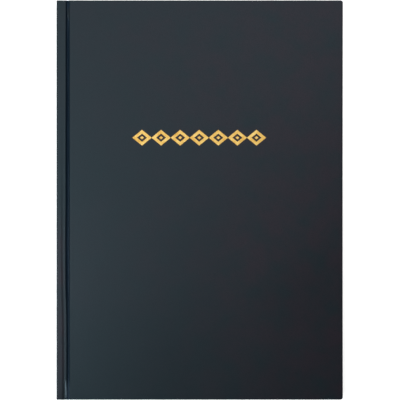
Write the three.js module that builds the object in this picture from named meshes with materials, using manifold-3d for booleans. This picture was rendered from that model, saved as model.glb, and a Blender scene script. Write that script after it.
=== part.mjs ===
// A case-bound record book: sewn sections of ruled leaves in a case of covered boards.
//
// The closed book lies on its back cover. X runs from the spine to the fore edge, Y from the
// tail to the head and Z up. The origin is the middle of the book's underside. Sizes are in
// millimetres. Places across the book are given as distances from the spine's outer face, and
// fromSpine() turns them into X.
//
// The case's parts are written once, for the front cover, and turned over for the back cover.

import * as THREE from "three";
import { mergeVertices } from "three/addons/utils/BufferGeometryUtils.js";
import Module from "manifold-3d";

const wasm = await Module();
wasm.setup();

// Leaves and sections
const leafWidth = 205;
const leafLength = 290;
const leafThickness = 0.09;
const leavesPerSection = 8;
const sectionCount = 12;
const turningSections = 4;
const gutterWidth = 12;

// Endpapers
const endpaperThickness = 0.15;
const creaseSetIn = 0.8;

// Case
const foreEdgeSquare = 3.8;
const headSquare = 3.5;
const boardThickness = 2;
const spineCardThickness = 0.8;
const coveringThickness = 0.35;
const turnInWidth = 15;
const cornerRadius = 1.8;
const edgeRadius = 0.7;
const spineCornerRadius = 0.9;
const mitreGap = 0.4;

// Joints between the spine and the boards
const jointWidth = 8.5;
const valleyDepth = 0.4;
const bumpDepth = 0.25;
const grooveDepth = 1.8;

// Spine of the text block
const spineHollow = 1.95;
const liningThickness = 0.15;
const liningSetIn = 5;
const mullThickness = 0.2;
const mullSetIn = 20;
const mullFlapWidth = 25;
const threadDiameter = 0.4;
const threadWidth = 0.8;
const stitchStations = 5;
const stitchSetIn = 0.036;
const kettleSetIn = 15;

// How far a cutting block reaches past what it cuts
const cutterReach = 1;

// Heights, from the underside up
const sectionThickness = leavesPerSection * leafThickness;
const caseThickness = 2 * coveringThickness + boardThickness + endpaperThickness;
const blockBottom = caseThickness;
const sectionsBottom = blockBottom + endpaperThickness;
const sectionsTop = sectionsBottom + sectionCount * sectionThickness;
const blockTop = sectionsTop + endpaperThickness;
const bookThickness = blockTop + caseThickness;
const turnInBottom = blockTop + endpaperThickness;
const boardBottom = turnInBottom + coveringThickness;
const boardTop = boardBottom + boardThickness;

// Distances from the spine's outer face
const spineCardInside = coveringThickness + spineCardThickness;
const spineDepth = spineCardInside + coveringThickness;
const liningOutside = spineDepth + spineHollow;
const mullOutside = liningOutside + liningThickness;
const threadOutside = mullOutside + mullThickness;
const foldOutside = threadOutside + threadDiameter;
const boardStart = spineDepth + jointWidth;
const gutterEnd = foldOutside + gutterWidth;
const leafEnd = foldOutside + leafWidth;
const coverWidth = leafEnd + foreEdgeSquare;

// Half lengths along the spine
const coverHalf = leafLength / 2 + headSquare;
const boardHalf = coverHalf - coveringThickness;
const windowHalf = coverHalf - turnInWidth;
const leafHalf = leafLength / 2;
const mullHalf = leafHalf - mullSetIn;

const materials = {
  covering: new THREE.MeshStandardMaterial({ color: 0x24282c, roughness: 0.45, metalness: 0 }),
  board: new THREE.MeshStandardMaterial({ color: 0x8f8576, roughness: 0.95, metalness: 0 }),
  endpaper: new THREE.MeshStandardMaterial({ color: 0xe9e4d6, roughness: 0.9, metalness: 0 }),
  leaf: new THREE.MeshStandardMaterial({ color: 0xf1ecdd, roughness: 0.9, metalness: 0 }),
  mull: new THREE.MeshStandardMaterial({ color: 0xd8d2c2, roughness: 1, metalness: 0 }),
  lining: new THREE.MeshStandardMaterial({ color: 0xa98f6a, roughness: 0.9, metalness: 0 }),
  thread: new THREE.MeshStandardMaterial({ color: 0xe6e1d3, roughness: 0.8, metalness: 0 }),
};

const book = new THREE.Group();

function fromSpine(distance) {
  return distance - coverWidth / 2;
}

function addPiece(name, geometry, material) {
  const mesh = new THREE.Mesh(geometry, materials[material]);
  mesh.name = name;
  book.add(mesh);
}

// Turns a piece of the front cover over, end for end, into its place in the back cover.
function turnedOver(geometry) {
  const halfTurn = new THREE.Matrix4().set(1, 0, 0, 0, 0, -1, 0, 0, 0, 0, -1, bookThickness, 0, 0, 0, 1);
  return geometry.clone().applyMatrix4(halfTurn);
}

function addFrontAndBack(name, geometry, material) {
  addPiece(`front_${name}`, geometry, material);
  addPiece(`back_${name}`, turnedOver(geometry), material);
}

// A block between two distances from the spine, two places along it and two heights.
function block(uStart, uEnd, yStart, yEnd, zBottom, zTop) {
  const geometry = new THREE.BoxGeometry(uEnd - uStart, yEnd - yStart, zTop - zBottom);
  const middle = fromSpine((uStart + uEnd) / 2);
  return geometry.translate(middle, (yStart + yEnd) / 2, (zBottom + zTop) / 2);
}

// Extrudes an outline of [distance from the spine, height] points along the spine.
function alongSpine(outline, yStart, yEnd) {
  const shape = new THREE.Shape(outline.map(([u, z]) => new THREE.Vector2(fromSpine(u), z)));
  const geometry = new THREE.ExtrudeGeometry(shape, { depth: yEnd - yStart, bevelEnabled: false });
  return geometry.rotateX(Math.PI / 2).translate(0, yEnd, 0);
}

// Points of a circular arc from one angle to another, in degrees.
function arc(u, z, radius, startAngle, endAngle, steps) {
  const points = [];
  for (let i = 0; i <= steps; i += 1) {
    const angle = THREE.MathUtils.degToRad(startAngle + ((endAngle - startAngle) * i) / steps);
    points.push([u + radius * Math.cos(angle), z + radius * Math.sin(angle)]);
  }
  return points;
}

function solid(geometry) {
  const bare = geometry.clone();
  bare.deleteAttribute("normal");
  bare.deleteAttribute("uv");
  const merged = mergeVertices(bare, 1e-4);
  const vertProperties = new Float32Array(merged.attributes.position.array);
  const triVerts = new Uint32Array(merged.index.array);
  return new wasm.Manifold(new wasm.Mesh({ numProp: 3, vertProperties, triVerts }));
}

function geometryOf(manifold) {
  const mesh = manifold.getMesh();
  const geometry = new THREE.BufferGeometry();
  geometry.setAttribute("position", new THREE.BufferAttribute(mesh.vertProperties.slice(), 3));
  geometry.setIndex(new THREE.BufferAttribute(mesh.triVerts.slice(), 1));
  geometry.computeVertexNormals();
  return geometry;
}

function cut(geometry, ...cutters) {
  return geometryOf(cutters.reduce((left, cutter) => left.subtract(solid(cutter)), solid(geometry)));
}

// Cover board and its covering, with rounded edges, turned in over three sides

function coverOutline(inset) {
  const radius = cornerRadius - inset;
  const start = fromSpine(boardStart);
  const end = fromSpine(coverWidth - inset);
  const half = coverHalf - inset;
  const shape = new THREE.Shape();
  shape.moveTo(start, -half);
  shape.lineTo(end - radius, -half);
  shape.absarc(end - radius, radius - half, radius, -Math.PI / 2, 0, false);
  shape.lineTo(end, half - radius);
  shape.absarc(end - radius, half - radius, radius, 0, Math.PI / 2, false);
  shape.lineTo(start, half);
  return shape;
}

function coverBoard() {
  const options = { depth: boardThickness, bevelEnabled: false, curveSegments: 6 };
  return new THREE.ExtrudeGeometry(coverOutline(coveringThickness), options).translate(0, 0, boardBottom);
}

// The bevel rounds the edges all round, so the end at the joint is cut square afterwards.
function roundedCover() {
  const depth = bookThickness - turnInBottom - 2 * edgeRadius;
  const options = {
    depth,
    curveSegments: 6,
    bevelThickness: edgeRadius,
    bevelSize: edgeRadius,
    bevelOffset: -edgeRadius,
    bevelSegments: 4,
  };
  const shape = coverOutline(0);
  const slab = new THREE.ExtrudeGeometry(shape, options).translate(0, 0, turnInBottom + edgeRadius);
  const surplus = 2 * edgeRadius;
  const positions = slab.attributes.position;
  const middle = fromSpine((boardStart + coverWidth) / 2);
  for (let i = 0; i < positions.count; i += 1) {
    if (positions.getX(i) < middle) {
      positions.setX(i, positions.getX(i) - surplus);
    }
  }
  const reach = coverHalf + cutterReach;
  const cutStart = boardStart - surplus - cutterReach;
  return cut(slab, block(cutStart, boardStart, -reach, reach, 0, bookThickness + cutterReach));
}

// Slits where the turned-in edges meet at a corner, on the slant of the mitre.
function mitre(side) {
  const length = (turnInWidth - 2 * edgeRadius) * Math.SQRT2;
  const slit = new THREE.BoxGeometry(length, mitreGap, 2 * coveringThickness);
  const inwards = (turnInWidth + 2 * edgeRadius) / 2;
  slit.rotateZ((side * Math.PI) / 4);
  return slit.translate(fromSpine(coverWidth - inwards), side * (coverHalf - inwards), turnInBottom);
}

function coverCovering() {
  const windowEnd = coverWidth - turnInWidth;
  const window = block(boardStart, windowEnd, -windowHalf, windowHalf, turnInBottom - cutterReach, boardBottom);
  return cut(roundedCover(), coverBoard(), window, mitre(1), mitre(-1));
}

// Spine card, which is thin enough to bend as the book opens, and its covering, turned in at
// the head and the tail

function spineOutline(inset, inside) {
  const radius = spineCornerRadius - inset;
  const top = bookThickness - spineCornerRadius;
  return [
    [inside, inset],
    [inside, bookThickness - inset],
    ...arc(spineCornerRadius, top, radius, 90, 180, 5),
    ...arc(spineCornerRadius, spineCornerRadius, radius, 180, 270, 5),
  ].reverse();
}

function spineCard() {
  return alongSpine(spineOutline(coveringThickness, spineCardInside), -boardHalf, boardHalf);
}

function spineCovering() {
  const wrapped = alongSpine(spineOutline(0, spineDepth), -coverHalf, coverHalf);
  const windowEnd = spineDepth + cutterReach;
  const window = block(spineCardInside, windowEnd, -windowHalf, windowHalf, coveringThickness, boardTop);
  return cut(wrapped, spineCard(), window);
}

// Joint covering: from the spine down a shallow valley, over a bump and through the pressed,
// flat-bottomed groove up to the board. Each row is a share of the joint's width and a depth.

const jointShape = [
  [0, 0],
  [0.1, 0],
  [0.3, valleyDepth],
  [0.5, bumpDepth],
  [0.67, grooveDepth],
  [0.84, grooveDepth],
  [1, 0],
];
const stepsPerWave = 6;

function jointCurve() {
  const points = [];
  for (let i = 0; i + 1 < jointShape.length; i += 1) {
    const [startShare, startDepth] = jointShape[i];
    const [endShare, endDepth] = jointShape[i + 1];
    for (let step = i === 0 ? 0 : 1; step <= stepsPerWave; step += 1) {
      const t = step / stepsPerWave;
      const eased = (1 - Math.cos(Math.PI * t)) / 2;
      const u = spineDepth + jointWidth * (startShare + (endShare - startShare) * t);
      points.push([u, bookThickness - startDepth - (endDepth - startDepth) * eased]);
    }
  }
  return points;
}

// The underside of a layer on the curve: as low as circles of its thickness round the curve's
// points reach.
function jointUnderside(curve, thickness) {
  return curve.map(([u]) => {
    const near = curve.filter(([otherU]) => Math.abs(otherU - u) <= thickness);
    const reached = near.map(([otherU, z]) => z - Math.sqrt(thickness ** 2 - (otherU - u) ** 2));
    return [u, Math.min(...reached)];
  });
}

function jointCovering() {
  const curve = jointCurve();
  const top = [...curve].reverse();
  const single = [...jointUnderside(curve, coveringThickness), ...top];
  const folded = [...jointUnderside(curve, 2 * coveringThickness), ...top];
  const tail = solid(alongSpine(folded, -coverHalf, -windowHalf));
  const middle = solid(alongSpine(single, -windowHalf, windowHalf));
  const head = solid(alongSpine(folded, windowHalf, coverHalf));
  return geometryOf(tail.add(middle).add(head));
}

// A sheet of paper that steps down over what it is pasted on: its underside's height is given
// at each crossing of lines across and along the book.
function steppedSheet(us, ys, undersideAt) {
  const rows = ys.length;
  const positions = [];
  for (const lift of [0, endpaperThickness]) {
    for (const u of us) {
      for (const y of ys) {
        positions.push(fromSpine(u), y, undersideAt(u, y) + lift);
      }
    }
  }
  const layer = us.length * rows;
  const faces = [];
  const quad = (a, b, c, d) => faces.push(a, b, c, a, c, d);
  for (let i = 0; i + 1 < us.length; i += 1) {
    for (let j = 0; j + 1 < rows; j += 1) {
      const corner = i * rows + j;
      quad(layer + corner, layer + corner + rows, layer + corner + rows + 1, layer + corner + 1);
      quad(corner, corner + 1, corner + rows + 1, corner + rows);
    }
  }
  for (let i = 0; i + 1 < us.length; i += 1) {
    const near = i * rows;
    const far = near + rows - 1;
    quad(near, near + rows, layer + near + rows, layer + near);
    quad(far + rows, far, layer + far, layer + far + rows);
  }
  const last = (us.length - 1) * rows;
  for (let j = 0; j + 1 < rows; j += 1) {
    quad(j + 1, j, layer + j, layer + j + 1);
    quad(last + j, last + j + 1, layer + last + j + 1, layer + last + j);
  }
  const geometry = new THREE.BufferGeometry();
  geometry.setAttribute("position", new THREE.Float32BufferAttribute(positions, 3));
  geometry.setIndex(faces);
  geometry.computeVertexNormals();
  return geometry;
}

const pasteStep = 1;
const mullFlapEnd = boardStart + mullFlapWidth;
const mullBottom = boardBottom - mullThickness;

function pastedown() {
  const foreEdgeTurnIn = coverWidth - turnInWidth;
  const us = [boardStart, mullFlapEnd, mullFlapEnd + pasteStep, foreEdgeTurnIn - pasteStep, foreEdgeTurnIn, leafEnd];
  const ys = [-leafHalf, -windowHalf, pasteStep - windowHalf, windowHalf - pasteStep, windowHalf, leafHalf];
  return steppedSheet(us, ys, (u, y) => {
    if (u >= foreEdgeTurnIn || Math.abs(y) >= windowHalf) {
      return blockTop;
    }
    return (u > mullFlapEnd ? boardBottom : mullBottom) - endpaperThickness;
  });
}

// The folded edge of an endpaper: the part of the pastedown that crosses the joint, the crease,
// and the part of the flyleaf that bends when it is turned.
function endpaperFold() {
  const pasteBottom = mullBottom - endpaperThickness;
  const bend = (foldOutside + boardStart) / 2;
  const outline = [
    [gutterEnd, sectionsTop],
    [gutterEnd, blockTop],
    [foldOutside + creaseSetIn, blockTop],
    [bend, blockTop + endpaperThickness / 4],
    [boardStart, pasteBottom],
    [boardStart, mullBottom],
    [bend, turnInBottom],
    ...arc(foldOutside + endpaperThickness, blockTop, endpaperThickness, 90, 270, 6),
  ];
  return alongSpine(outline, -leafHalf, leafHalf);
}

function flyleaf() {
  return block(gutterEnd, leafEnd, -leafHalf, leafHalf, sectionsTop, blockTop);
}

// Open-weave cloth that holds the block in its case
function mullFlap() {
  return block(boardStart, mullFlapEnd, -mullHalf, mullHalf, mullBottom, boardBottom);
}

function mullJoint() {
  const bend = (foldOutside + boardStart) / 2;
  const outline = [
    [mullOutside, blockTop],
    [threadOutside, blockTop],
    ...arc(threadOutside + endpaperThickness, turnInBottom - endpaperThickness, endpaperThickness, 180, 90, 4),
    [bend, turnInBottom],
    [boardStart, mullBottom],
    [boardStart, boardBottom],
    [bend, turnInBottom + mullThickness],
    ...arc(threadOutside + endpaperThickness, blockTop, endpaperThickness + mullThickness, 90, 180, 5),
  ];
  return alongSpine(outline, -mullHalf, mullHalf);
}

addFrontAndBack("board", coverBoard(), "board");
addFrontAndBack("covering", coverCovering(), "covering");
addFrontAndBack("joint_covering", jointCovering(), "covering");
addFrontAndBack("pastedown", pastedown(), "endpaper");
addFrontAndBack("endpaper_fold", endpaperFold(), "endpaper");
addFrontAndBack("flyleaf", flyleaf(), "endpaper");
addFrontAndBack("mull_flap", mullFlap(), "mull");
addFrontAndBack("mull_joint", mullJoint(), "mull");
addPiece("spine_card", spineCard(), "board");
addPiece("spine_covering", spineCovering(), "covering");

// Sections, counted from the front. The first ones turn with the front cover, so their folded
// edge, which bends, is a piece of its own.
function foldedOutline(bottom, end) {
  const radius = sectionThickness / 2;
  return [
    [end, bottom],
    [end, bottom + sectionThickness],
    ...arc(foldOutside + radius, bottom + radius, radius, 90, 270, 8),
  ];
}

for (let number = 1; number <= sectionCount; number += 1) {
  const name = `section_${String(number).padStart(2, "0")}`;
  const bottom = sectionsTop - number * sectionThickness;
  if (number <= turningSections) {
    const leaves = block(gutterEnd, leafEnd, -leafHalf, leafHalf, bottom, bottom + sectionThickness);
    addPiece(name, leaves, "leaf");
    addPiece(`${name}_fold`, alongSpine(foldedOutline(bottom, gutterEnd), -leafHalf, leafHalf), "leaf");
  } else {
    addPiece(name, alongSpine(foldedOutline(bottom, leafEnd), -leafHalf, leafHalf), "leaf");
  }
}

// Sewing thread: at each station it passes round the fold of every section in turn
function stitchChain() {
  const reach = sectionThickness / 2 - stitchSetIn;
  const outline = [];
  for (let number = 0; number < sectionCount; number += 1) {
    const middle = sectionsBottom + (number + 0.5) * sectionThickness;
    for (const point of arc(0, 0, 1, 270, 90, 4)) {
      const out = -point[0] * (threadDiameter / 2);
      outline.push([foldOutside - threadDiameter / 2 - out, middle + point[1] * reach]);
    }
  }
  outline.push([foldOutside, sectionsTop - stitchSetIn], [foldOutside, sectionsBottom + stitchSetIn]);
  return outline.reverse();
}

for (let station = 0; station < stitchStations; station += 1) {
  const reach = leafHalf - kettleSetIn;
  const y = reach - (2 * reach * station) / (stitchStations - 1);
  const chain = alongSpine(stitchChain(), y - threadWidth / 2, y + threadWidth / 2);
  addPiece(`sewing_thread_${station + 1}`, chain, "thread");
}

// Mull and paper lining glued on the spine of the block
const liningHalf = leafHalf - liningSetIn;
addPiece("spine_mull", block(mullOutside, threadOutside, -mullHalf, mullHalf, blockBottom, blockTop), "mull");
const liningPaper = block(liningOutside, mullOutside, -liningHalf, liningHalf, sectionsBottom, sectionsTop);
addPiece("spine_lining", liningPaper, "lining");

export default book;
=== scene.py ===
# Dresses a case-bound record book: covering, boards, endpapers, sewn leaves and gold foil.
#
# The closed book lies on its back cover, with its spine to the left and its head away from
# the viewer. Sizes in this script are millimetres and are turned into metres where a mesh is
# made. Places across the book are distances from the spine's outer face. The front half of
# the case is drawn once and turned over for the back half.

import math

import bmesh
import bpy
from mathutils import Matrix, Vector


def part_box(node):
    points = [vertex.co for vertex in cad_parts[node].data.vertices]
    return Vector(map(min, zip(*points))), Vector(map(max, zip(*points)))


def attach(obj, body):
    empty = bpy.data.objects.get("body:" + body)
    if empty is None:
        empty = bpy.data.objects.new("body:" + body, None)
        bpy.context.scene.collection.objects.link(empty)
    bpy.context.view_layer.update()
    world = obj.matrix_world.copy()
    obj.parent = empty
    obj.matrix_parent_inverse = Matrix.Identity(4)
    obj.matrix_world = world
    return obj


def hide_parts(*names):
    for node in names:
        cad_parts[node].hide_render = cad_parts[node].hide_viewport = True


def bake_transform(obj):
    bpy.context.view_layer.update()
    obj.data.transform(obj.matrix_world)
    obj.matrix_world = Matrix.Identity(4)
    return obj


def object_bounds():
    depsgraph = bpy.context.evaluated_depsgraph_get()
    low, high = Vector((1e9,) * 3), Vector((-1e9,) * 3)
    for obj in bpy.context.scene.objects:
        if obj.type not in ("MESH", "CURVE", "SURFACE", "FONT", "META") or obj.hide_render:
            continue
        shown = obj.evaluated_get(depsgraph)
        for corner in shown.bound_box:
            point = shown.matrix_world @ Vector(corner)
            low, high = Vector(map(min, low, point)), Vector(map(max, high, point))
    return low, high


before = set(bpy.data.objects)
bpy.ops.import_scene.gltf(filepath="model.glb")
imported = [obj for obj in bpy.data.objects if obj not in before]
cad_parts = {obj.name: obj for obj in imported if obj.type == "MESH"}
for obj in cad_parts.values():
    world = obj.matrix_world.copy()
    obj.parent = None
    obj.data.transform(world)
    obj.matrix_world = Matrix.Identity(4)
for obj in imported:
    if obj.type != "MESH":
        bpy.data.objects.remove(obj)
cad_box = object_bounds()

MM = 0.001

# Sizes of the book, from the frame

book_low, book_high = [[c / MM for c in corner] for corner in cad_box]
COVER_WIDTH = book_high[0] - book_low[0]
COVER_HALF = book_high[1]
BOOK_THICKNESS = book_high[2]


def frame_span(node, axis):
    low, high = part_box(node)
    return low[axis] / MM, high[axis] / MM


def to_x(u):
    """X of a place that is u from the spine's outer face."""
    return u - COVER_WIDTH / 2


def from_x(x):
    return x + COVER_WIDTH / 2


BOARD_START = from_x(frame_span("front_board", 0)[0])
BOARD_BOTTOM = frame_span("front_board", 2)[0]
TURN_IN_BOTTOM = frame_span("front_covering", 2)[0]
SPINE_DEPTH = from_x(frame_span("spine_covering", 0)[1])
BLOCK_TOP = frame_span("front_flyleaf", 2)[1]
FLYLEAF_BOTTOM = frame_span("front_flyleaf", 2)[0]
LEAF_HALF = frame_span("front_flyleaf", 1)[1]
LEAF_END = from_x(frame_span("front_flyleaf", 0)[1])
GUTTER_END = from_x(frame_span("front_flyleaf", 0)[0])
FOLD = from_x(frame_span("section_01_fold", 0)[0])
MULL_BOTTOM, MULL_TOP = frame_span("front_mull_flap", 2)
MULL_HALF = frame_span("front_mull_flap", 1)[1]

# Sizes that the frame doesn't give

TURN_IN = 15
EDGE_RADIUS = 0.7
CORNER_RADIUS = 1.8
SPINE_RADIUS = 0.9
JOINT_LAYER = 0.6
THINNEST_LAYER = 0.1
LEAVES_PER_SECTION = 8
SECTIONS = 12
TURNING_SECTIONS = 4
RULE_PITCH = 8
RULE_WIDTH = 0.26
RULES_FROM_HEAD = 28
RULES_FROM_TAIL = 14
HEADING_FROM_HEAD = 25
HEADING_WIDTH = 0.44
MARGIN_PLACE = 28
MARGIN_WIDTH = 0.36
PUCKER_FROM_HEAD = (6.5, 13.5)
HINGE_BODY = "text_block"

# Materials


def new_material(name, base, roughness, **sockets):
    """A material with a Principled shader, and what is uniform set on the shader itself."""
    material = bpy.data.materials.new(name)
    material.use_nodes = True
    shader = material.node_tree.nodes["Principled BSDF"]
    shader.inputs["Base Color"].default_value = (*base, 1)
    shader.inputs["Roughness"].default_value = roughness
    for socket, value in sockets.items():
        shader.inputs[socket.replace("_", " ")].default_value = value
    return material


def add_node(tree, kind, inputs=None, **settings):
    node = tree.nodes.new(kind)
    for name, value in settings.items():
        setattr(node, name, value)
    for name, value in (inputs or {}).items():
        if isinstance(value, bpy.types.NodeSocket):
            tree.links.new(value, node.inputs[name])
        else:
            node.inputs[name].default_value = value
    return node


def math_node(tree, operation, a, b=0.0, clamp=False):
    node = add_node(tree, "ShaderNodeMath", {0: a, 1: b}, operation=operation, use_clamp=clamp)
    return node.outputs[0]


def mix_colour(tree, factor, a, b):
    node = add_node(tree, "ShaderNodeMix", {0: factor, 6: a, 7: b}, data_type="RGBA")
    return node.outputs[2]


def ramp(tree, value, low, high):
    """0 below low, 1 above high and straight between them."""
    node = add_node(tree, "ShaderNodeMapRange", {0: value, 1: low, 2: high}, clamp=True)
    return node.outputs[0]


def spread(tree, value, low, high):
    """A noise from 0.3 to 0.7 spread between two roughnesses."""
    inputs = {0: value, 1: 0.3, 2: 0.7, 3: low, 4: high}
    return add_node(tree, "ShaderNodeMapRange", inputs).outputs[0]


def between(tree, value, limits, blur):
    """1 between two limits, and falling to 0 outside them over the length of blur."""
    low, high = limits
    after = ramp(tree, value, low - blur / 2, low + blur / 2)
    before = ramp(tree, value, high + blur / 2, high - blur / 2)
    return math_node(tree, "MULTIPLY", after, before)


def surface_point(tree, scale=(1, 1, 1), uv=True):
    """The piece's own surface map in metres, or its place in the book."""
    source = add_node(tree, "ShaderNodeTexCoord").outputs["UV" if uv else "Object"]
    return add_node(tree, "ShaderNodeMapping", {"Vector": source, "Scale": scale}).outputs[0]


def bump(tree, height, distance, strength, under=None):
    inputs = {"Height": height, "Distance": distance, "Strength": strength}
    if under is not None:
        inputs["Normal"] = under
    return add_node(tree, "ShaderNodeBump", inputs).outputs[0]


def noise(tree, vector, scale, detail, roughness=0.5):
    inputs = {"Vector": vector, "Scale": scale, "Detail": detail, "Roughness": roughness}
    return add_node(tree, "ShaderNodeTexNoise", inputs).outputs[0]


def new_group(name, inputs, outputs):
    group = bpy.data.node_groups.new(name, "ShaderNodeTree")
    for socket, kind in inputs:
        group.interface.new_socket(socket, in_out="INPUT", socket_type=kind)
    for socket, kind in outputs:
        group.interface.new_socket(socket, in_out="OUTPUT", socket_type=kind)
    return group, group.nodes.new("NodeGroupInput").outputs, group.nodes.new("NodeGroupOutput")


def make_grain_group():
    """Pebbled grain: soft cells with finer noise on them."""
    group, given, result = new_group(
        "Grain",
        [("Vector", "NodeSocketVector"), ("Scale", "NodeSocketFloat"), ("Fine", "NodeSocketFloat")],
        [("Height", "NodeSocketFloat"), ("Pores", "NodeSocketFloat")],
    )
    inputs = {"Vector": given[0], "Scale": given[1]}
    cells = add_node(group, "ShaderNodeTexVoronoi", inputs, feature="SMOOTH_F1")
    fine_scale = math_node(group, "MULTIPLY", given[1], 3.1)
    fine = math_node(group, "MULTIPLY", noise(group, given[0], fine_scale, 3), given[2])
    pebbles = math_node(group, "SUBTRACT", 1.0, cells.outputs["Distance"])
    height = math_node(group, "ADD", pebbles, fine)
    group.links.new(height, result.inputs[0])
    group.links.new(ramp(group, cells.outputs["Distance"], 0.35, 0.7), result.inputs[1])
    return group


def make_dust_group():
    """Sparse specks of dust, a few to a hand's breadth."""
    group, given, result = new_group(
        "Dust",
        [("Vector", "NodeSocketVector"), ("Spacing", "NodeSocketFloat"), ("Size", "NodeSocketFloat")],
        [("Mask", "NodeSocketFloat")],
    )
    cells = add_node(group, "ShaderNodeTexVoronoi", {"Vector": given[0], "Scale": given[1]})
    near = math_node(group, "LESS_THAN", cells.outputs["Distance"], given[2])
    chosen = math_node(group, "GREATER_THAN", noise(group, given[0], 61.0, 0), 0.56)
    group.links.new(math_node(group, "MULTIPLY", near, chosen), result.inputs[0])
    return group


def make_fibre_group():
    """The long soft mottle of paper and card."""
    group, given, result = new_group(
        "Fibre",
        [("Vector", "NodeSocketVector"), ("Scale", "NodeSocketFloat")],
        [("Height", "NodeSocketFloat"), ("Mottle", "NodeSocketFloat")],
    )
    stretched = {"Vector": given[0], "Scale": (1, 0.35, 1)}
    long_way = add_node(group, "ShaderNodeMapping", stretched).outputs[0]
    group.links.new(noise(group, long_way, given[1], 5, 0.65), result.inputs[0])
    wide = math_node(group, "MULTIPLY", given[1], 0.04)
    group.links.new(noise(group, given[0], wide, 3), result.inputs[1])
    return group


grain_group = make_grain_group()
dust_group = make_dust_group()
fibre_group = make_fibre_group()


def place_group(tree, group, **values):
    node = tree.nodes.new("ShaderNodeGroup")
    node.node_tree = group
    for name, value in values.items():
        if isinstance(value, bpy.types.NodeSocket):
            tree.links.new(value, node.inputs[name])
        else:
            node.inputs[name].default_value = value
    return node


def finish_material(material, colour, roughness=None, normal=None):
    tree = material.node_tree
    shader = tree.nodes["Principled BSDF"]
    for name, socket in (("Base Color", colour), ("Roughness", roughness), ("Normal", normal)):
        if socket is not None:
            tree.links.new(socket, shader.inputs[name])
    return material


def covering_material(spine_edge, groove):
    """Blue-black leatherette: fine grain, faint long streaks, rubbed sheen and a little dust. Painted
    light is laid on it: a painted reflection that turns the tone from teal to plum across the cover, a
    painted highlight on the lower spine, and painted shade in the pressed groove and along the spine's
    rounded edge.
    spine_edge and groove are where the rounded edge and the pressed groove start and end, as
    lengths along the covering from the middle of the spine."""
    teal = (0.0008, 0.0088, 0.0108, 1)
    plum = (0.0145, 0.0074, 0.0108, 1)
    patch = (0.0020, 0.0095, 0.0110, 1)
    pore = (0.002, 0.003, 0.004, 1)
    painted_groove_shade = (0.0003, 0.0085, 0.0210, 1)
    painted_edge_shade = (0.0010, 0.0012, 0.0020, 1)
    speck = (0.5, 0.5, 0.48, 1)
    material = new_material(
        "leatherette",
        (0.006, 0.0085, 0.011),
        0.31,
        Specular_IOR_Level=0.45,
        Specular_Tint=(0.66, 0.84, 1, 1),
    )
    tree = material.node_tree
    place = surface_point(tree)
    grain = place_group(tree, grain_group, Vector=place, Scale=1900.0, Fine=0.5)
    streaks = noise(tree, surface_point(tree, (1, 0.06, 1)), 420.0, 3)
    cloudy = noise(tree, place, 9.0, 4, 0.6)
    patchy = noise(tree, place, 55.0, 3, 0.6)
    dust = place_group(tree, dust_group, Vector=place, Spacing=42.0, Size=0.010).outputs[0]
    split = add_node(tree, "ShaderNodeSeparateXYZ", {0: place})
    across, along = split.outputs[0], split.outputs[1]
    # Painted reflection: the tone turns from teal near the spine to plum towards the fore edge and the
    # head, standing in for the lamps' sheen. A random cloudy mottle is added to it.
    slant = math_node(tree, "ADD", across, math_node(tree, "MULTIPLY", along, 0.25))
    # Painted highlight: the spine and the valley beside it are tinted towards plum in the tail half,
    # standing in for a sheen there.
    on_spine = ramp(tree, across, groove[0], groove[0] - 0.004)
    low_spine = math_node(tree, "MULTIPLY", on_spine, ramp(tree, along, 0.0, -0.04))
    painted_spine_highlight = math_node(tree, "MULTIPLY", low_spine, 0.7)
    painted_reflection_tint = math_node(tree, "MAXIMUM", ramp(tree, slant, -0.02, 0.26), painted_spine_highlight)
    mottle_and_painted_reflection = math_node(tree, "ADD", cloudy, painted_reflection_tint)
    tone = mix_colour(tree, ramp(tree, mottle_and_painted_reflection, 0.55, 1.3), teal, plum)
    tone = mix_colour(tree, ramp(tree, patchy, 0.4, 0.8), tone, patch)
    pores = math_node(tree, "MULTIPLY", grain.outputs[1], 0.5)
    tone = mix_colour(tree, pores, tone, pore)
    puckered = sorted((COVER_HALF - place) * MM for place in PUCKER_FROM_HEAD)
    pucker = between(tree, along, puckered, 0.003)
    right_part = ramp(tree, across, groove[0] + 0.0012, groove[0] + 0.0018)
    filled = math_node(tree, "MULTIPLY", pucker, right_part)
    in_groove = math_node(tree, "SUBTRACT", between(tree, across, groove, 0.0008), filled, clamp=True)
    at_edge = between(tree, across, spine_edge, 0.0004)
    pressed = math_node(tree, "MAXIMUM", in_groove, at_edge)
    # Painted shade: the pressed groove is coloured a deep blue, standing in for the shade in its hollow.
    # It is left out where the ends are filled in.
    tone = mix_colour(tree, in_groove, tone, painted_groove_shade)
    # Painted shade: the spine's rounded edge is coloured near black, standing in for the dark reflection
    # along it.
    tone = mix_colour(tree, at_edge, tone, painted_edge_shade)
    colour = mix_colour(tree, dust, tone, speck)
    rubbed = spread(tree, cloudy, 0.27, 0.35)
    rough = add_node(tree, "ShaderNodeMix", {0: pressed, 2: rubbed, 3: 0.6}).outputs[0]
    wrinkles = noise(tree, surface_point(tree, (1, 0.12, 1)), 900.0, 4, 0.7)
    creases = math_node(tree, "MULTIPLY", wrinkles, in_groove)
    relief = bump(tree, grain.outputs[0], 0.00006, 0.5)
    relief = bump(tree, streaks, 0.00004, 0.5, relief)
    relief = bump(tree, creases, 0.0004, 0.6, relief)
    return finish_material(material, colour, rough, relief)


def paper_material(name, base, shade, uv=True):
    material = new_material(name, base, 0.85)
    tree = material.node_tree
    fibre = place_group(tree, fibre_group, Vector=surface_point(tree, uv=uv), Scale=900.0)
    colour = mix_colour(tree, fibre.outputs[1], (*base, 1), (*shade, 1))
    return finish_material(material, colour, None, bump(tree, fibre.outputs[0], 0.00004, 0.4))


def line_at(tree, value, place, width):
    """1 on a printed line of that width, both in millimetres."""
    distance = math_node(tree, "ABSOLUTE", math_node(tree, "SUBTRACT", value, place * MM))
    return math_node(tree, "LESS_THAN", distance, width * MM / 2)


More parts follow.
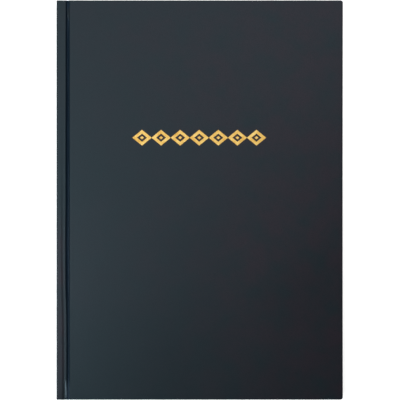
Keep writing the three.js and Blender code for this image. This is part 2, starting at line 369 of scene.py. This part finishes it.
def leaf_material():
    """Writing paper with pale blue rules, a heading rule and a red margin on its faces."""
    material = new_material("ruled_leaf", (0.80, 0.76, 0.65), 0.85)
    tree = material.node_tree
    place = surface_point(tree)
    fibre = place_group(tree, fibre_group, Vector=place, Scale=900.0)
    paper = mix_colour(tree, fibre.outputs[1], (0.82, 0.78, 0.67, 1), (0.74, 0.69, 0.57, 1))
    split = add_node(tree, "ShaderNodeSeparateXYZ", {0: place})
    across, along = split.outputs[0], split.outputs[1]
    phase = math_node(tree, "PINGPONG", along, RULE_PITCH * MM / 2)
    rule = math_node(tree, "LESS_THAN", phase, RULE_WIDTH * MM / 2)
    below_heading = math_node(tree, "LESS_THAN", along, (LEAF_HALF - RULES_FROM_HEAD) * MM)
    above_foot = math_node(tree, "GREATER_THAN", along, (RULES_FROM_TAIL - LEAF_HALF) * MM)
    rule = math_node(tree, "MULTIPLY", rule, math_node(tree, "MULTIPLY", below_heading, above_foot))
    margin = line_at(tree, across, MARGIN_PLACE, MARGIN_WIDTH)
    heading = line_at(tree, along, LEAF_HALF - HEADING_FROM_HEAD, HEADING_WIDTH)
    ruled = mix_colour(tree, rule, paper, (0.25, 0.42, 0.62, 1))
    ruled = mix_colour(tree, math_node(tree, "MAXIMUM", margin, heading), ruled, (0.62, 0.16, 0.15, 1))
    return finish_material(material, ruled, None, bump(tree, fibre.outputs[0], 0.00004, 0.4))


def board_material():
    material = new_material("grey_board", (0.3, 0.26, 0.21), 0.95)
    tree = material.node_tree
    fibre = place_group(tree, fibre_group, Vector=surface_point(tree, uv=False), Scale=500.0)
    colour = mix_colour(tree, fibre.outputs[0], (0.24, 0.20, 0.16, 1), (0.38, 0.34, 0.28, 1))
    return finish_material(material, colour, None, bump(tree, fibre.outputs[0], 0.0001, 0.6))


def weave_material(name, base, pitch):
    """Cloth or thread: two sets of fine ribs at right angles."""
    material = new_material(name, base, 0.9)
    tree = material.node_tree
    place = surface_point(tree, uv=False)
    split = add_node(tree, "ShaderNodeSeparateXYZ", {0: place})
    ribs = []
    for output in split.outputs[:2]:
        turns = math_node(tree, "MULTIPLY", output, 2 * math.pi / pitch)
        ribs.append(math_node(tree, "SINE", turns))
    cloth = math_node(tree, "MAXIMUM", *ribs)
    dark = tuple(c * 0.55 for c in base)
    colour = mix_colour(tree, ramp(tree, cloth, -0.6, 0.8), (*dark, 1), (*base, 1))
    return finish_material(material, colour, None, bump(tree, cloth, 0.0001, 0.5))


def foil_material():
    """Stamped gold foil: the grain shows through, with rubbed, duller patches."""
    material = new_material("gold_foil", (0.9, 0.55, 0.12), 0.32, Metallic=0.45)
    tree = material.node_tree
    place = surface_point(tree, uv=False)
    grain = place_group(tree, grain_group, Vector=place, Scale=1500.0, Fine=0.8)
    patches = noise(tree, place, 260.0, 4, 0.6)
    colour = mix_colour(tree, ramp(tree, patches, 0.3, 0.7), (0.78, 0.42, 0.06, 1), (1.0, 0.70, 0.22, 1))
    rubbed = spread(tree, patches, 0.26, 0.46)
    return finish_material(material, colour, rubbed, bump(tree, grain.outputs[0], 0.00006, 0.7))


def burnt_rim_material():
    """The scorched edge that hot stamping leaves round the foil."""
    material = new_material("burnt_rim", (0.09, 0.035, 0.012), 0.5)
    tree = material.node_tree
    patches = noise(tree, surface_point(tree, uv=False), 500.0, 3)
    colour = mix_colour(tree, patches, (0.16, 0.07, 0.02, 1), (0.04, 0.016, 0.008, 1))
    return finish_material(material, colour)


BOARD_LOOK = board_material()
ENDPAPER_LOOK = paper_material("endpaper", (0.80, 0.76, 0.66), (0.72, 0.67, 0.56))
LEAF_LOOK = leaf_material()
PASTEDOWN_LOOK = paper_material("pastedown", (0.80, 0.76, 0.66), (0.72, 0.67, 0.56), uv=False)
LINING_LOOK = paper_material("kraft_lining", (0.42, 0.28, 0.15), (0.33, 0.21, 0.11), uv=False)
MULL_LOOK = weave_material("mull_cloth", (0.62, 0.58, 0.48), 0.0012)
THREAD_LOOK = weave_material("waxed_thread", (0.72, 0.67, 0.55), 0.0004)
FOIL_LOOK = foil_material()
RIM_LOOK = burnt_rim_material()

# Making pieces

MERGE_DISTANCE = 1e-7

# Where a sheet's inner side starts on its surface map, clear of the outer side
INNER_MAP_START = 300


def turned_over(point):
    """A place in the front half of the case, moved to its twin in the back half."""
    return Vector((point[0], -point[1], BOOK_THICKNESS - point[2]))


def finish_piece(name, bm, material, smooth=True, back=False, maps=None):
    """Turns a bmesh in millimetres into an object in metres at the origin."""
    if maps:
        layer = bm.loops.layers.uv.new("surface")
        for face in bm.faces:
            for loop in face.loops:
                u, v = maps[loop.vert]
                loop[layer].uv = (u * MM, v * MM)
    for vert in bm.verts:
        vert.co = (turned_over(vert.co) if back else vert.co) * MM
    bmesh.ops.remove_doubles(bm, verts=bm.verts, dist=MERGE_DISTANCE)
    bmesh.ops.recalc_face_normals(bm, faces=bm.faces)
    mesh = bpy.data.meshes.new(name)
    bm.to_mesh(mesh)
    bm.free()
    for face in mesh.polygons:
        face.use_smooth = smooth
    mesh.materials.append(material)
    piece = bpy.data.objects.new(name, mesh)
    bpy.context.scene.collection.objects.link(piece)
    return piece


def ring_edges(bm, ring):
    return [bm.edges.get((ring[i - 1], ring[i])) for i in range(len(ring))]


def loft(bm, maps, sections_along, lengths):
    """Adds a closed solid through rings that all have as many corners. A ring is its outer points
    in order and then its inner points in reverse, so that its two ends can be closed in strips.
    lengths gives each outer point's distance along the surface. It goes into maps, which keeps
    each vertex's place on the surface map."""
    count = len(lengths)
    around = list(lengths) + [INNER_MAP_START + s for s in reversed(lengths)]

    def note(ring):
        for vert, s in zip(ring, around):
            maps[vert] = (s, vert.co.y)

    ring = [bm.verts.new(p) for p in sections_along[0]]
    for i in range(len(ring)):
        bm.edges.new((ring[i - 1], ring[i]))
    note(ring)
    first = ring
    for targets in sections_along[1:]:
        bmesh.ops.extrude_edge_only(bm, edges=ring_edges(bm, ring))
        ring = [next(e.other_vert(v) for e in v.link_edges if e.other_vert(v) not in maps) for v in ring]
        for vert, target in zip(ring, targets):
            vert.co = target
        note(ring)
    for end in (first, ring):
        for i in range(count - 1):
            quad = [end[i], end[i + 1], end[2 * count - 2 - i], end[2 * count - 1 - i]]
            bmesh.ops.contextual_create(bm, geom=quad)


def running_lengths(points):
    lengths = [0.0]
    for (u0, z0), (u1, z1) in zip(points, points[1:]):
        lengths.append(lengths[-1] + math.hypot(u1 - u0, z1 - z0))
    return lengths


def ease(t):
    return (1 - math.cos(math.pi * t)) / 2


def wave(y, *waves):
    """A slow uneven wave along the spine: each part is a length, a phase and a height."""
    return sum(height * math.sin(2 * math.pi * y / length + phase) for length, phase, height in waves)


# The case: spine, joint, board edge and turn-in as one covering

# The joint's even shape from the spine to the board: shares of its width, and depths below the top
JOINT_SHAPE = [(0, 0), (0.1, 0), (0.3, 0.4), (0.5, 0.36), (0.67, 1.8), (0.84, 1.8), (1, 0)]
JOINT_STEPS = 8
VALLEY_DEPTH = JOINT_SHAPE[2][1]
BUMP_END, *GROOVE_FLOOR = [
    SPINE_DEPTH + share * (BOARD_START - SPINE_DEPTH) for share, depth in JOINT_SHAPE[3:6]
]
ARC_STEPS = 6
BOARD_CLEARANCE = 0.02
FORE_EDGE_BOW = 0.15
FORE_EDGE_ZONE = 6


def joint_points():
    points = []
    width = BOARD_START - SPINE_DEPTH
    for (share, depth), (next_share, next_depth) in zip(JOINT_SHAPE, JOINT_SHAPE[1:]):
        for step in range(JOINT_STEPS):
            t = step / JOINT_STEPS
            u = SPINE_DEPTH + width * (share + (next_share - share) * t)
            points.append((u, BOOK_THICKNESS - depth - (next_depth - depth) * ease(t)))
    return points


def case_outline():
    """Pairs of outer and inner points across the front half of the case, from the middle of
    the spine to the fore edge."""
    top = BOOK_THICKNESS
    pairs = []
    inner_top = top - JOINT_LAYER

    # The upright side of the spine, and its rounded edge
    wall_steps = 10
    for i in range(wall_steps):
        z = top / 2 + (top / 2 - SPINE_RADIUS) * i / wall_steps
        pairs.append(((0, z), (SPINE_DEPTH, min(z, inner_top))))
    for i in range(ARC_STEPS + 1):
        angle = math.pi - math.pi / 2 * i / ARC_STEPS
        u = SPINE_RADIUS * (1 + math.cos(angle))
        z = top - SPINE_RADIUS * (1 - math.sin(angle))
        pairs.append(((u, z), (SPINE_DEPTH, min(z, inner_top))))

    # The joint, with the inner points at right angles to its slope
    joint = joint_points()
    for i, (u, z) in enumerate(joint):
        before = joint[max(i - 1, 0)]
        after = joint[min(i + 1, len(joint) - 1)]
        run, rise = after[0] - before[0], after[1] - before[1]
        slant = math.hypot(run, rise)
        inner_u = min(max(u + JOINT_LAYER * rise / slant, SPINE_DEPTH), BOARD_START)
        pairs.append(((u, z), (inner_u, z - JOINT_LAYER * run / slant)))
    pairs.append(((BOARD_START, top), (BOARD_START, inner_top)))

    # The board, with more places beside the joint and in the turn-in
    end = COVER_WIDTH - EDGE_RADIUS
    window = COVER_WIDTH - TURN_IN
    places = [BOARD_START + 0.01, BOARD_START + 0.4, BOARD_START + 1.2, BOARD_START + 3]
    board_steps = 20
    places += [BOARD_START + (window - BOARD_START) * i / board_steps for i in range(1, board_steps)]
    places += [window - 0.05, window, window + 5, window + 10, end - 1.5]
    pairs += [((u, top), (u, TURN_IN_BOTTOM)) for u in places]

    # The rounded fore edge
    for i in range(ARC_STEPS + 1):
        angle = math.pi / 2 * i / ARC_STEPS
        out = EDGE_RADIUS * math.sin(angle)
        drop = EDGE_RADIUS * (1 - math.cos(angle))
        pairs.append(((end + out, top - drop), (end + out, TURN_IN_BOTTOM + drop)))
    middle = (top + TURN_IN_BOTTOM) / 2
    pairs.append(((COVER_WIDTH, middle + 0.05), (COVER_WIDTH, middle - 0.05)))
    return pairs


def places_along(half, end_radius, inner):
    """Places from the tail to the head, close together where the ends are rounded."""
    ends = [end_radius * (1 - math.sin(math.pi / 2 * i / ARC_STEPS)) for i in range(ARC_STEPS + 1)]
    ends = sorted({round(e, 6) for e in ends} | {1.0, 1.4, 1.8, 3.0, 6.0, 10.0})
    side = [half - e for e in ends] + [inner + 0.05, inner]
    window_steps = 34
    side += [inner * (1 - 2 * i / window_steps) for i in range(1, window_steps // 2)]
    return sorted({-y for y in side} | set(side) | {0.0})


def end_pull(distance, radius):
    """How far a corner of that radius draws a side in, this far from the end."""
    if distance >= radius:
        return 0.0
    return radius - math.sqrt(max(radius**2 - (radius - distance) ** 2, 0))


def hump(value, middle, half_width):
    """A smooth hump, 1 high at its middle."""
    return math.exp(-(((value - middle) / half_width) ** 2))


def smooth_step(value, low, high):
    return ease(min(max((value - low) / (high - low), 0), 1))


def joint_change(u, z, y):
    """How far the covering in the joint lies from its even shape, across the book and up.

    The valley beside the spine fades towards the head. The groove's left wall lies nearer the
    board than in the even shape. Its right wall does too in the lower half, and lies nearer the
    spine in the upper one. Its floor wavers, and is higher in the lower part. Close to the head
    and the tail it is puckered and filled in, where the turned-in ends double the covering."""
    if not SPINE_DEPTH < u < BOARD_START:
        return 0.0, 0.0
    from_head, from_tail = COVER_HALF - y, COVER_HALF + y
    before_board = smooth_step(u, BOARD_START, GROOVE_FLOOR[1])
    in_groove = smooth_step(u, BUMP_END, GROOVE_FLOOR[0]) * before_board
    in_valley = smooth_step(u, GROOVE_FLOOR[0], BUMP_END)
    lower_part = smooth_step(from_head, 205, 245)

    # Across: the left wall, the waver of the groove, the right wall and the lower valley
    left_wall = 0.95 - 0.2 * hump(from_head, 186, 25) + 0.6 * lower_part
    left_reach = smooth_step(u, SPINE_DEPTH, 2.6) * smooth_step(u, GROOVE_FLOOR[1], BUMP_END + 0.6)
    right_wall = 0.45 * smooth_step(from_head, 60, 200) - 0.2
    across = left_wall * left_reach
    across += in_groove * wave(y, (61, 0.4, 0.12), (23, 1.9, 0.07), (9.5, 0.7, 0.03))
    across += right_wall * smooth_step(u, *GROOVE_FLOOR) * before_board
    across += 0.2 * hump(u, SPINE_DEPTH + 2.2, 1.2) * smooth_step(from_head, 150, 220)

    # Up: the fading valley, and the groove's floor, which is lowest at its right side
    fading = 0.56 + 0.36 * smooth_step(from_tail, 60, 250)
    up = in_valley * fading * min(BOOK_THICKNESS - z, VALLEY_DEPTH)
    up += in_groove * wave(y, (47, 1.1, 0.06), (17, 0.2, 0.05), (7.3, 2.2, 0.03))
    up += 0.5 * in_groove * lower_part
    up -= 0.35 * smooth_step(u, GROOVE_FLOOR[0] - 0.3, GROOVE_FLOOR[1]) * before_board

    # At the head: the groove shallower and its right part filled in. Everywhere: a crease along
    # the board's edge
    right_fill = smooth_step(u, GROOVE_FLOOR[0], GROOVE_FLOOR[0] + 0.9)
    up += right_fill * hump(from_head, sum(PUCKER_FROM_HEAD) / 2, 4) ** 0.5 * (BOOK_THICKNESS - z)
    up -= 0.2 * hump(u, BOARD_START - 0.4, 0.3)
    up += 0.6 * in_groove * hump(from_head, 0, 1.6)

    # Near the tail: a shallow dip in the groove's place, with a pinched fold along its left side
    shallow = 0.5 * smooth_step(u, BUMP_END, BOARD_START - 0.6)
    shallow *= smooth_step(u, BOARD_START, BOARD_START - 0.4)
    tail_fill = smooth_step(from_tail, 14, 9) * smooth_step(u, BUMP_END - 0.3, BUMP_END + 0.2)
    up += tail_fill * (BOOK_THICKNESS - shallow - z - up)
    pinch = smooth_step(from_tail, 13, 11) * smooth_step(from_tail, 0.6, 2)
    up += 0.3 * hump(u, BUMP_END, 0.35) * pinch

    # Both ends sink a little, and nothing rises above the cover
    up -= 0.15 * hump(u, 4.6, 2.2) * hump(min(from_head, from_tail), 0, 4)
    return across, min(up, BOOK_THICKNESS - z)


def case_half(name, back):
    """The covering of one half: wrapped round the spine, the joint and the board's edges, with
    its rim turned in, and bowed and rounded at the fore edge."""
    pairs = case_outline()
    window_half = COVER_HALF - TURN_IN
    window_end = COVER_WIDTH - TURN_IN
    rings = []
    for y in places_along(COVER_HALF, EDGE_RADIUS, window_half):
        from_end = COVER_HALF - abs(y)
        round_share = end_pull(from_end, EDGE_RADIUS) / EDGE_RADIUS
        corner = end_pull(from_end, CORNER_RADIUS)
        bow = FORE_EDGE_BOW * (1 - (y / COVER_HALF) ** 2)
        outer, inner = [], []
        for (ou, oz), (iu, iz) in pairs:
            if BOARD_START < iu < window_end - 0.01 and abs(y) <= window_half:
                iz = BOARD_BOTTOM + BOARD_CLEARANCE
            across, up = joint_change(ou, oz, y)
            if SPINE_DEPTH < ou < BOARD_START:
                iz = min(max(iz, MULL_TOP - up), oz - THINNEST_LAYER)
            gap = math.hypot(iu - ou, iz - oz)
            inset = min(EDGE_RADIUS, 0.45 * gap) * round_share / max(gap, 1e-6)
            near_edge = min(max(1 - (COVER_WIDTH - ou) / FORE_EDGE_ZONE, 0), 1)
            pull = (corner + bow) * near_edge
            for side, here, there in ((outer, (ou, oz), (iu, iz)), (inner, (iu, iz), (ou, oz))):
                u = here[0] + (there[0] - here[0]) * inset - pull + across
                side.append((to_x(u), y, here[1] + (there[1] - here[1]) * inset + up))
        rings.append(outer + inner[::-1])
    bm, maps = bmesh.new(), {}
    loft(bm, maps, rings, running_lengths([p[0] for p in pairs]))
    return finish_piece(name, bm, COVERING_LOOK, back=back, maps=maps)


def bend_with_cover(piece, cover, start, end, back):
    """Bakes the piece's transform. It works out two bodies, the text block and a cover, and two places
    for a bend between them (the other way round for the front cover), but bends nothing with them."""
    bodies = [HINGE_BODY, cover]
    places = [(to_x(u), 0, z) for u, z in (start, end)]
    if back:
        places = [turned_over(p) for p in places]
    else:
        bodies.reverse()
        places.reverse()
    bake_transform(piece)


def case_length(u):
    """The length along the covering, in metres, from the middle of the spine to a place on it."""
    outline = [outer for outer, inner in case_outline()]
    lengths = running_lengths(outline)
    return MM * next(s for s, place in zip(lengths, outline) if place[0] >= u - 1e-6)


COVERING_LOOK = covering_material(
    spine_edge=(case_length(0.1), case_length(SPINE_RADIUS)),
    groove=(case_length(BUMP_END + 0.5), case_length(BOARD_START - 0.5)),
)

for side, back in (("front", False), ("back", True)):
    covering = case_half(f"{side}_case_covering", back)
    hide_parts(f"{side}_covering", f"{side}_joint_covering")
    if not back:
        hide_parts("spine_covering", "spine_card")
    bend_start, bend_end = (SPINE_DEPTH, BOOK_THICKNESS / 2), (BOARD_START - 2, BLOCK_TOP)
    bend_with_cover(covering, f"{side}_cover", bend_start, bend_end, back)

# Endpapers and mull


def strip_rings(path, thickness, half):
    """Rings for a thin sheet whose middle follows a path across the book."""
    rings = []
    for y in (-half, -half / 2, 0.0, half / 2, half):
        outer, inner = [], []
        for i, (u, z) in enumerate(path):
            before, after = path[max(i - 1, 0)], path[min(i + 1, len(path) - 1)]
            run, rise = after[0] - before[0], after[1] - before[1]
            slant = math.hypot(run, rise)
            off_u, off_z = -rise / slant * thickness / 2, run / slant * thickness / 2
            outer.append((to_x(u + off_u), y, z + off_z))
            inner.append((to_x(u - off_u), y, z - off_z))
        rings.append(outer + inner[::-1])
    return rings


def sheet_piece(name, path, thickness, half, material, slot, back):
    """A thin sheet that follows a path across the book, and reaches half its length each way."""
    bm, maps = bmesh.new(), {}
    loft(bm, maps, strip_rings(path, thickness, half), running_lengths(path))
    return finish_piece(name, bm, material, back=back, maps=maps)


def path_across(start, end, z_start, z_end, steps):
    """Places across the book from start to end, rising or falling smoothly between two heights."""
    shares = [i / steps for i in range(steps + 1)]
    return [(start + (end - start) * t, z_start + (z_end - z_start) * ease(t)) for t in shares]


def leaf_path(start, end, z, gutter_steps, flat_steps):
    """Places across a flat leaf, closer together in the gutter, where it bends."""
    path = path_across(start, GUTTER_END, z, z, gutter_steps)
    return path + path_across(GUTTER_END, end, z, z, flat_steps)[1:]


# Sheets are drawn a little thinner than they are, so that none lies in its neighbour's plane
SHEET_SHARE = 0.9
BEND_STEPS = 40

for side, back in (("front", False), ("back", True)):
    cover = f"{side}_cover"
    paper = BLOCK_TOP - FLYLEAF_BOTTOM
    lower = BLOCK_TOP + paper / 2
    fold_start, fold_end = (FOLD - 0.2, BLOCK_TOP), (FOLD + 2.2, BLOCK_TOP)

    fold_edge = FOLD + 0.05
    joint_path = path_across(fold_edge, BOARD_START + 0.5, lower, MULL_BOTTOM - paper / 2, BEND_STEPS)
    sheet = (paper * SHEET_SHARE, LEAF_HALF, ENDPAPER_LOOK, "endpaper", back)
    joint_paper = sheet_piece(f"{side}_endpaper_joint", joint_path, *sheet)
    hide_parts(f"{side}_endpaper_fold")
    bend_with_cover(joint_paper, cover, fold_start, fold_end, back)

    cloth = MULL_TOP - MULL_BOTTOM
    cloth_rise = (lower + (paper + cloth) / 2, (MULL_TOP + MULL_BOTTOM) / 2)
    cloth_path = path_across(FOLD - 0.4, BOARD_START, *cloth_rise, BEND_STEPS)
    mull = (cloth * SHEET_SHARE, MULL_HALF, MULL_LOOK, "mull", back)
    joint_cloth = sheet_piece(f"{side}_mull_hinge", cloth_path, *mull)
    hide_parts(f"{side}_mull_joint")
    bend_with_cover(joint_cloth, cover, fold_start, fold_end, back)

    fly_middle = (BLOCK_TOP + FLYLEAF_BOTTOM) / 2
    fly_path = leaf_path(fold_edge, LEAF_END, fly_middle, gutter_steps=48, flat_steps=12)
    flyleaf = sheet_piece(f"{side}_flyleaf_sheet", fly_path, *sheet)
    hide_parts(f"{side}_flyleaf")
    bend_with_cover(flyleaf, f"{side}_flyleaf", (FOLD, BLOCK_TOP), (FOLD + 6, BLOCK_TOP), back)

# Sections: eight leaves each, folded and sewn at the spine

LEAF_SHARE = 0.86
TRIM_UNEVENNESS = 0.12


def trim_short(leaf, number):
    """How much shorter than the longest leaf this one is, after an uneven trim."""
    return TRIM_UNEVENNESS * (0.5 + 0.5 * math.sin(7.3 * leaf + 2.9 * number))


def section_piece(number):
    """A sewn section. The first few are only baked in place, and the others are attached to the text
    block.
    """
    name = f"section_{number:02d}"
    low, high = frame_span(name, 2)
    pitch = (high - low) / LEAVES_PER_SECTION
    bm, maps = bmesh.new(), {}
    for leaf in range(LEAVES_PER_SECTION):
        z = low + pitch * (leaf + 0.5)
        short = trim_short(leaf, number)
        start = FOLD + pitch * abs(leaf - (LEAVES_PER_SECTION - 1) / 2)
        path = leaf_path(start, LEAF_END - short, z, gutter_steps=22, flat_steps=10)
        rings = strip_rings(path, pitch * LEAF_SHARE, LEAF_HALF - 0.5 * short)
        loft(bm, maps, rings, running_lengths(path))
    piece = finish_piece(f"{name}_leaves", bm, LEAF_LOOK, smooth=False, maps=maps)
    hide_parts(name)
    if number <= TURNING_SECTIONS:
        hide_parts(f"{name}_fold")
        bend_with_cover(piece, name, (FOLD, BLOCK_TOP), (GUTTER_END, BLOCK_TOP), False)
    else:
        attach(piece, HINGE_BODY)


for number in range(1, SECTIONS + 1):
    section_piece(number)

# Gold foil band on the front cover: a row of lozenges, each with a smaller one inside

BAND_MIDDLE = (-0.3, 46.3)
LOZENGES = 7
LOZENGE_WIDTH = 99.2 / LOZENGES
LOZENGE_HEIGHT = 11.6
STROKE = 2.1
INNER_GAP = 1.5
FOIL_LIFT = 0.03
RIM_LIFT = 0.012
FOIL_DEPTH = 0.01
RIM_GROWTH = 0.34


def add_lozenge(bm, middle, share, filled):
    """Adds a flat lozenge, a share of a whole one in size, and returns the edges round it."""
    size = Matrix.Diagonal((LOZENGE_WIDTH / 2 * share, LOZENGE_HEIGHT / 2 * share, 1, 1))
    place = Matrix.Translation(middle) @ size
    made = bmesh.ops.create_circle(bm, cap_ends=filled, segments=4, radius=1, matrix=place)
    return ring_edges(bm, made["verts"])


def lozenge_band(name, grow, lift, material):
    """The band's foil, with its top lift above the cover. grow widens each stroke at both sides."""
    bm = bmesh.new()
    side = math.hypot(LOZENGE_WIDTH, LOZENGE_HEIGHT) / 2
    slope = 4 * side / (LOZENGE_WIDTH * LOZENGE_HEIGHT)
    for i in range(LOZENGES):
        middle_x = BAND_MIDDLE[0] + (i - (LOZENGES - 1) / 2) * LOZENGE_WIDTH
        middle = (middle_x, BAND_MIDDLE[1], BOOK_THICKNESS + lift)
        outside = add_lozenge(bm, middle, 1 + grow * slope, False)
        inside = add_lozenge(bm, middle, 1 - (STROKE + grow) * slope, False)
        bmesh.ops.bridge_loops(bm, edges=outside + inside)
        add_lozenge(bm, middle, 1 - (STROKE + INNER_GAP - grow) * slope, True)
    made = bmesh.ops.extrude_face_region(bm, geom=list(bm.faces))["geom"]
    lowered = [v for v in bm.verts if v not in made]
    bmesh.ops.translate(bm, verts=lowered, vec=(0, 0, -lift - FOIL_DEPTH))
    piece = finish_piece(name, bm, material, smooth=False)
    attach(piece, "front_cover")


lozenge_band("foil_band", 0.0, FOIL_LIFT, FOIL_LOOK)
lozenge_band("foil_rim", RIM_GROWTH, RIM_LIFT, RIM_LOOK)

# Finishes of the pieces that come straight from the frame

for node, look in (
    ("front_board", BOARD_LOOK), ("back_board", BOARD_LOOK),
    ("front_pastedown", PASTEDOWN_LOOK), ("back_pastedown", PASTEDOWN_LOOK),
    ("front_mull_flap", MULL_LOOK), ("back_mull_flap", MULL_LOOK), ("spine_mull", MULL_LOOK),
    ("spine_lining", LINING_LOOK),
    *[(f"sewing_thread_{i}", THREAD_LOOK) for i in range(1, 6)],
):
    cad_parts[node].material_slots[0].material = look

# Floor, lights and camera

FLOOR_HALF = 3000
VIEW_WIDTH = 0.2972
VIEW_OFF_CENTRE = 0.00025


def add_floor():
    bm = bmesh.new()
    bmesh.ops.create_grid(bm, x_segments=1, y_segments=1, size=FLOOR_HALF)
    material = new_material("studio_floor", (0.95, 0.95, 0.95), 0.9, Emission_Strength=0.6)
    floor = finish_piece("floor", bm, material, smooth=False)


def add_area_light(name, place, target, size, power, colour=(1, 1, 1), turn=0.0):
    """A rectangular light in metres that looks at a place, turned about its own line of sight."""
    data = bpy.data.lights.new(name, "AREA")
    data.shape = "RECTANGLE"
    data.size, data.size_y = size
    data.energy = power
    data.color = colour
    light = bpy.data.objects.new(name, data)
    light.location = place
    light.rotation_euler = (Vector(target) - Vector(place)).to_track_quat("-Z", "Y").to_euler()
    light.rotation_euler.rotate_axis("Z", turn)
    bpy.context.scene.collection.objects.link(light)


def add_world(strength):
    world = bpy.data.worlds.new("studio")
    world.use_nodes = True
    background = world.node_tree.nodes["Background"]
    background.inputs["Color"].default_value = (0.94, 0.97, 1, 1)
    background.inputs["Strength"].default_value = strength
    bpy.context.scene.world = world


def add_camera():
    data = bpy.data.cameras.new("camera")
    data.lens = 100
    data.sensor_width = 36
    camera = bpy.data.objects.new("camera", data)
    distance = VIEW_WIDTH * data.lens / data.sensor_width
    camera.location = (VIEW_OFF_CENTRE, 0, BOOK_THICKNESS * MM + distance)
    bpy.context.scene.collection.objects.link(camera)
    bpy.context.scene.camera = camera


add_floor()
add_world(0.14)
add_area_light(
    "ceiling",
    place=(-0.455, 0.455, 1.6),
    target=(-0.455, 0.455, 0),
    size=(1.6, 1.6),
    power=8.1,
    colour=(1, 0.97, 0.97),
    turn=math.pi / 4,
)
add_area_light(
    "window",
    place=(-0.80, -0.18, 1.0),
    target=(0, 0, 0),
    size=(0.5, 0.6),
    power=9.5,
    colour=(0.90, 0.98, 1),
)
add_area_light("far_side", place=(0.7, 0.9, 1.0), target=(0, 0, 0), size=(0.6, 0.5), power=7)
add_camera()
bpy.context.scene.view_settings.view_transform = "Standard"
